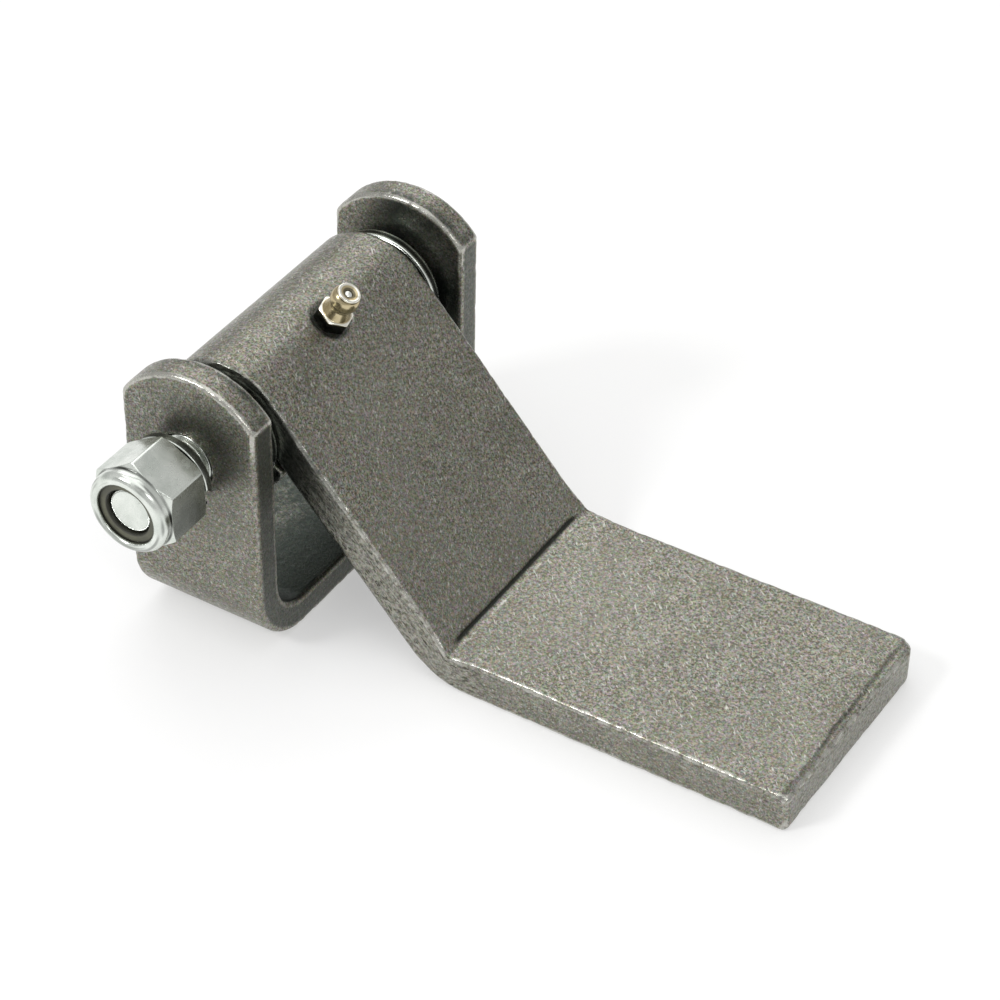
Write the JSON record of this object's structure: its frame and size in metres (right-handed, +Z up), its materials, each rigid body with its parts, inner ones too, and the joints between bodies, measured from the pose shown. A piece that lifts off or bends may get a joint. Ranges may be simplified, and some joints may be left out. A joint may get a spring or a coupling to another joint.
{
  "type": "strap hinge",
  "caption": "Weld-on strap hinge: U bracket, bent strap rolled into an eye, pivot bolt with lock nut, loose washers and grease fitting",
  "frame": {"origin": "centre of the bracket's weld face, on the mid-plane between the two ears", "axes": "+X from the bracket toward the leaf, +Y along the pivot bolt toward its head, +Z up from the weld face to the ears"},
  "size_m": [0.1523, 0.114, 0.0699],
  "materials": {
    "rolled_steel": "bare hot-rolled steel, tumbled grey-brown with bright worn edges",
    "oiled_steel": "dark oiled steel with bright rubbed rims",
    "zinc_steel": "bright zinc plating, clear",
    "yellow_zinc": "pale yellow zinc plating",
    "nylon": "dark nylon, matt",
    "spring_steel": "polished steel"
  },
  "bodies": {
    "fixed_bracket": {"bracket": "rolled_steel", "pivot_bolt": "zinc_steel", "lock_nut": "zinc_steel", "nylon_insert": "nylon", "lock_washer": "zinc_steel"},
    "swinging_strap": {"strap": "rolled_steel", "grease_fitting": "yellow_zinc", "fitting_spring": "spring_steel"},
    "near_washer": {"thrust_washer_near": "oiled_steel"},
    "far_washer": {"thrust_washer_far": "oiled_steel"},
    "check_ball": {"fitting_ball": "spring_steel"}
  },
  "joints": [
    {"name": "strap_swing", "type": "hinge", "parent": "fixed_bracket", "child": "swinging_strap", "pos_m": [-0.001, 0, 0.0466], "axis": [0, 1, 0], "range_deg": [-274, 26.5]},
    {"name": "near_washer_spin", "type": "hinge", "parent": "fixed_bracket", "child": "near_washer", "pos_m": [-0.001, -0.03018, 0.0466], "axis": [0, 1, 0], "continuous": true},
    {"name": "far_washer_spin", "type": "hinge", "parent": "fixed_bracket", "child": "far_washer", "pos_m": [-0.001, 0.03227, 0.0466], "axis": [0, 1, 0], "continuous": true},
    {"name": "check_ball_slide", "type": "slide", "parent": "swinging_strap", "child": "check_ball", "axis": [-0.4924, 0, -0.8704], "range_m": [0, 0.0006], "stiffness_N_per_m": 150, "springref_m": -0.0003, "deforming": ["fitting_spring"]}
  ]
}
